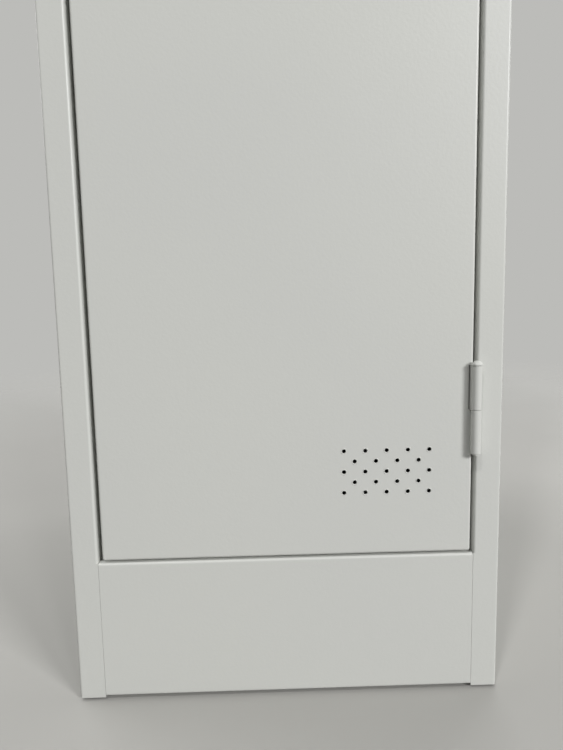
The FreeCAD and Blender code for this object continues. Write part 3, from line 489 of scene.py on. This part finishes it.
def weld_rows(form, low, high, y, count, end, side):
    """Two upright rows of weld marks at a depth, set in from the sides and the ends of a box."""
    for k in range(count):
        z = low.z + end + (high.z - low.z - 2 * end) * k / (count - 1)
        for x in (low.x + side, high.x - side):
            form.lathe(WELD_MARK, Vector((x, y, z)), FRONT, WELD_SEGMENTS)


def stiffener_welds():
    """Shallow weld marks along the feet of the door stiffener."""
    low, high = corners("door_stiffener")
    form = Form()
    weld_rows(form, low, high, low.y + SHEET, STIFFENER_WELDS, STIFFENER_WELD_END, STIFFENER_WELD_SIDE)
    form.piece("stiffener_welds", "door", "powder_coat")


def rear_welds():
    """Shallow weld marks along the rear flanges of the side panels."""
    low = corners("left_side_panel")[0]
    high = corners("right_side_panel")[1]
    form = Form()
    weld_rows(form, low, high, high.y, REAR_WELDS, REAR_WELD_END, REAR_WELD_SIDE)
    form.piece("rear_welds", "cabinet", "powder_coat")


def seen_rays(tree):
    """1 for camera, glossy and transmission rays, 0 for the rays that only carry light."""
    path = tree.nodes.new("ShaderNodeLightPath")
    seen = path.outputs["Is Camera Ray"]
    for ray in ("Is Glossy Ray", "Is Transmission Ray"):
        either = tree.nodes.new("ShaderNodeMath")
        either.operation = "MAXIMUM"
        tree.links.new(seen, either.inputs[0])
        tree.links.new(path.outputs[ray], either.inputs[1])
        seen = either.outputs["Value"]
    return seen


def plain_floor():
    """Pale floor that takes the shadow, throws little light back and fades away round the locker."""
    bpy.ops.mesh.primitive_plane_add(size=FLOOR_SIZE, location=(0, 0, 0))
    floor = bpy.context.object
    floor.name = "floor"
    pale = Surface("floor", colour=FLOOR_LIT, roughness=0.8)
    pale.tint(seen_rays(pale.tree), FLOOR_SEEN)
    pale.mottle(pale.noise(scale=3.0, detail=4.0), FLOOR_PATCHES, most=0.3)
    opacity = pale.ranged(pale.from_origin(), FLOOR_WHOLE, FLOOR_GONE, to_low=1.0, to_high=0.0)
    pale.link(opacity, pale.shader.inputs["Alpha"])
    floor.data.materials.append(pale.material)


def background(tree, colour, strength):
    """Background shader of one colour."""
    node = tree.nodes.new("ShaderNodeBackground")
    node.inputs["Color"].default_value = linear(colour)
    node.inputs["Strength"].default_value = strength
    return node.outputs["Background"]


def surround():
    """Pale surround for the camera and for reflections, and a dimmer fill for the rays that carry light."""
    world = bpy.data.worlds.new("surround")
    bpy.context.scene.world = world
    world.use_nodes = True
    tree = world.node_tree
    tree.nodes.clear()
    fill = background(tree, FILL_COLOUR, FILL_STRENGTH)
    pale = background(tree, SURROUND_COLOUR, SURROUND_STRENGTH)
    mix = tree.nodes.new("ShaderNodeMixShader")
    tree.links.new(seen_rays(tree), mix.inputs["Fac"])
    tree.links.new(fill, mix.inputs[1])
    tree.links.new(pale, mix.inputs[2])
    out = tree.nodes.new("ShaderNodeOutputWorld")
    tree.links.new(mix.outputs["Shader"], out.inputs["Surface"])


def lamp(name, azimuth, elevation, distance, aim, size, watts):
    """Square area lamp: azimuth to the right of the front, elevation above the horizon, in degrees."""
    light = bpy.data.lights.new(name, "AREA")
    light.energy = watts
    light.size = size
    obj = bpy.data.objects.new(name, light)
    bpy.context.scene.collection.objects.link(obj)
    turn = math.radians(azimuth)
    lift = math.radians(elevation)
    way = Vector((math.sin(turn) * math.cos(lift), -math.cos(turn) * math.cos(lift), math.sin(lift)))
    obj.location = Vector(aim) + way * distance
    obj.rotation_euler = way.to_track_quat("Z", "Y").to_euler()


def lamps():
    """Large key lamp on the right, two small ones for crisp shadows, and two wide ones from behind."""
    lamp("key", azimuth=44, elevation=20, distance=8.0, aim=LOW_FRONT, size=2.0, watts=460.0)
    lamp("upper_left", azimuth=-28, elevation=60, distance=6.0, aim=LOW_FRONT, size=0.4, watts=90.0)
    lamp("front_right", azimuth=25, elevation=31, distance=6.0, aim=LOW_FRONT_RIGHT, size=0.5, watts=40.0)
    lamp("left_rear", azimuth=-120, elevation=35, distance=5.0, aim=MIDDLE, size=4.5, watts=150.0)
    lamp("right_rear", azimuth=155, elevation=35, distance=5.0, aim=MIDDLE, size=4.5, watts=130.0)


def photo_camera():
    """Camera at the photograph's place: low, close, looking slightly down."""
    yaw = math.radians(CAMERA_YAW)
    pitch = math.radians(CAMERA_PITCH)
    roll = math.radians(CAMERA_ROLL)
    ahead = Vector((math.sin(yaw) * math.cos(pitch), math.cos(yaw) * math.cos(pitch), -math.sin(pitch)))
    level = Vector((math.cos(yaw), -math.sin(yaw), 0.0))
    upward = level.cross(ahead)
    right = math.cos(roll) * level + math.sin(roll) * upward
    up = -math.sin(roll) * level + math.cos(roll) * upward
    data = bpy.data.cameras.new("photo_camera")
    data.sensor_width = CAMERA_SENSOR
    data.lens = CAMERA_SENSOR * PHOTO_FOCAL_LENGTH / PHOTO_HEIGHT
    data.clip_start = CAMERA_NEAREST
    obj = bpy.data.objects.new("photo_camera", data)
    bpy.context.scene.collection.objects.link(obj)
    turn = Matrix((right, up, -ahead)).transposed().to_4x4()
    obj.matrix_world = Matrix.Translation([length * MM for length in CAMERA_PLACE]) @ turn
    bpy.context.scene.camera = obj


finish_nodes()
free_window()
vent_rims()
hook_screws()
socket_screws()
umbrella_holder_screws()
catch_screws()
stiffener_welds()
rear_welds()
plain_floor()
surround()
lamps()
photo_camera()
bpy.context.scene.view_settings.view_transform = "Standard"
